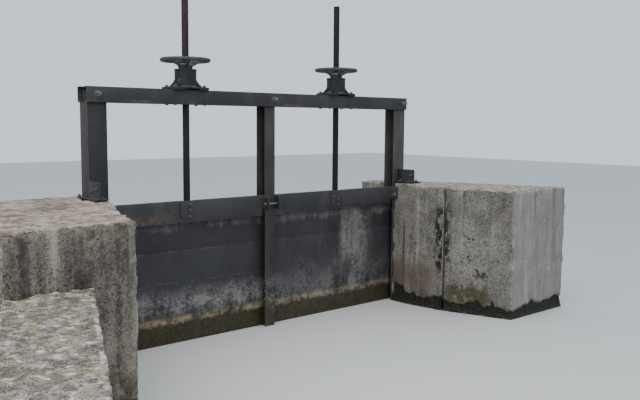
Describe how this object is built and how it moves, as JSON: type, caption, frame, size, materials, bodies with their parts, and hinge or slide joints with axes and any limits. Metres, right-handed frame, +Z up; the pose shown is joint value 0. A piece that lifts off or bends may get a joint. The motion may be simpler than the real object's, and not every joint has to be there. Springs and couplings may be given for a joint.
{
  "type": "sluice gate",
  "caption": "Sluice gate with side-by-side steel leaves in a steel frame between concrete abutments, raised by screw spindles under dished handwheels.",
  "frame": {"origin": "middle of the footprint's bounding box, at the water line that the structure stands in", "axes": "+X along the gate line toward the right abutment as seen from downstream, +Y upstream, +Z up"},
  "size_m": [6.3424, 3.583, 3.005],
  "materials": {
    "concrete": "rough",
    "frame_steel": "worn",
    "brown_steel": "worn",
    "rusty_steel": "rough",
    "leaf_steel": "worn",
    "fitting_steel": "worn",
    "pedestal_iron": "rough",
    "wheel_iron": "worn",
    "rusty_screw": "worn",
    "dark_screw": "worn"
  },
  "bodies": {
    "frame": {"left_abutment": "concrete", "right_abutment": "concrete", "left_wing_wall": "concrete", "right_wing_wall": "concrete", "left_post": "brown_steel", "middle_post": "frame_steel", "right_post": "frame_steel", "front_beam_left": "frame_steel", "front_beam_right": "frame_steel", "rear_beam": "frame_steel", "beam_cleats": "fitting_steel", "cross_beam_left": "frame_steel", "cross_beam_right": "frame_steel", "cross_beam_tie": "fitting_steel", "left_stem_guide": "fitting_steel", "right_stem_guide": "fitting_steel", "left_foot_bracket": "rusty_steel", "right_foot_bracket": "rusty_steel", "left_pedestal": "pedestal_iron", "right_pedestal": "pedestal_iron"},
    "left_leaf": {"left_lower_plate": "leaf_steel", "left_upper_plate": "leaf_steel", "left_stiffeners": "leaf_steel", "left_lifting_lug": "leaf_steel", "left_spindle": "rusty_screw"},
    "right_leaf": {"right_lower_plate": "leaf_steel", "right_upper_plate": "leaf_steel", "right_stiffeners": "leaf_steel", "right_lifting_lug": "leaf_steel", "right_spindle": "dark_screw"},
    "left_wheel": {"left_handwheel": "wheel_iron"},
    "right_wheel": {"right_handwheel": "wheel_iron"}
  },
  "joints": [
    {"name": "left_leaf_lift", "type": "slide", "parent": "frame", "child": "left_leaf", "axis": [0, 0, 1], "range_m": [0, 0.7]},
    {"name": "left_wheel_turn", "type": "hinge", "parent": "frame", "child": "left_wheel", "pos_m": [-0.47781, 1.3585, 2.3183], "axis": [0, 0, 1], "continuous": true},
    {"name": "right_leaf_lift", "type": "slide", "parent": "frame", "child": "right_leaf", "axis": [0, 0, 1], "range_m": [0, 0.7]},
    {"name": "right_wheel_turn", "type": "hinge", "parent": "frame", "child": "right_wheel", "pos_m": [1.21019, 1.3585, 2.3183], "axis": [0, 0, 1], "continuous": true}
  ]
}
